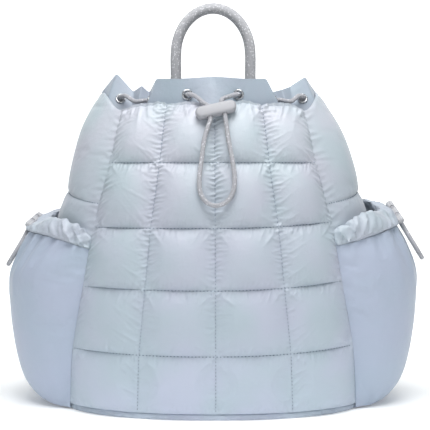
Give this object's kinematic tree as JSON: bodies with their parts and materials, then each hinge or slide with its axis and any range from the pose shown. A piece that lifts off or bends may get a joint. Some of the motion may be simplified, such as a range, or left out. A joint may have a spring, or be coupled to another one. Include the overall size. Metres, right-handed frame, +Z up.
{
  "type": "quilted drawstring backpack",
  "caption": "Pale blue quilted backpack with a gathered drawstring collar, side pockets and a rope handle.",
  "frame": {"origin": "middle of the base, on the floor", "axes": "+Z up, the front faces -Y, +X to the right as seen from the front"},
  "size_m": [0.4115, 0.2367, 0.4052],
  "materials": {
    "nylon": "satin padded nylon",
    "rope": "braided, flecked",
    "cord": "braided",
    "lock_plastic": "moulded",
    "eyelet_metal": "rolled",
    "webbing": "woven"
  },
  "bodies": {
    "root": {"front_panel": "nylon", "back_panel": "nylon", "base_panel": "nylon", "collar": "nylon", "side_panel_left": "nylon", "side_pocket_left": "nylon", "pocket_band_left": "nylon", "shoulder_strap_left": "nylon", "side_panel_right": "nylon", "side_pocket_right": "nylon", "pocket_band_right": "nylon", "shoulder_strap_right": "nylon", "carry_handle": "rope", "drawcord": "cord", "drawcord_loop": "cord", "pocket_cord_left": "cord", "pocket_cord_right": "cord", "cord_lock": "lock_plastic", "pocket_lock_left": "lock_plastic", "strap_buckle_left": "lock_plastic", "pocket_lock_right": "lock_plastic", "strap_buckle_right": "lock_plastic", "eyelet_front_left": "eyelet_metal", "eyelet_fold_left": "eyelet_metal", "eyelet_side_left": "eyelet_metal", "eyelet_rear_left": "eyelet_metal", "eyelet_back_left": "eyelet_metal", "eyelet_front_right": "eyelet_metal", "eyelet_fold_right": "eyelet_metal", "eyelet_side_right": "eyelet_metal", "eyelet_rear_right": "eyelet_metal", "eyelet_back_right": "eyelet_metal", "strap_webbing_left": "webbing", "strap_webbing_right": "webbing"}
  },
  "joints": []
}
